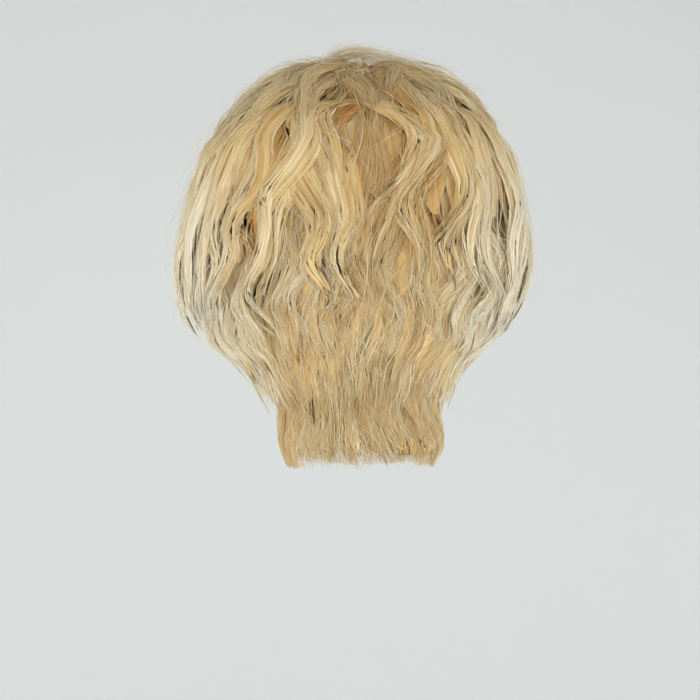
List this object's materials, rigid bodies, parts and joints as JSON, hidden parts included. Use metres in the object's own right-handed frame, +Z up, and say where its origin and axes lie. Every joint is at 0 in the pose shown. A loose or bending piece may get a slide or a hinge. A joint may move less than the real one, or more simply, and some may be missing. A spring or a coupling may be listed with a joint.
{
  "type": "short wavy synthetic wig",
  "caption": "Short layered wavy blond synthetic wig: a stretch net cap with sewn rows of hair, fuller above the ears, straight and tapered at the nape.",
  "frame": {"origin": "the point where the crown of the head meets the inside of the cap", "axes": "+Z up out of the crown, -Y towards the face, +Y towards the back of the head, +X towards the wearer's left"},
  "size_m": [0.2407, 0.2342, 0.2711],
  "materials": {
    "cap_net": "stretch net with sewn rows, matt",
    "hair_fibre": "pale ash-golden synthetic fibre with a soft sheen"
  },
  "bodies": {
    "root": {"wig_cap": "cap_net", "nape_weft": "hair_fibre", "low_back_weft": "hair_fibre", "ear_to_ear_weft": "hair_fibre", "fringe_weft": "hair_fibre", "upper_weft": "hair_fibre", "crown_weft": "hair_fibre", "top_hair": "hair_fibre"}
  },
  "joints": []
}
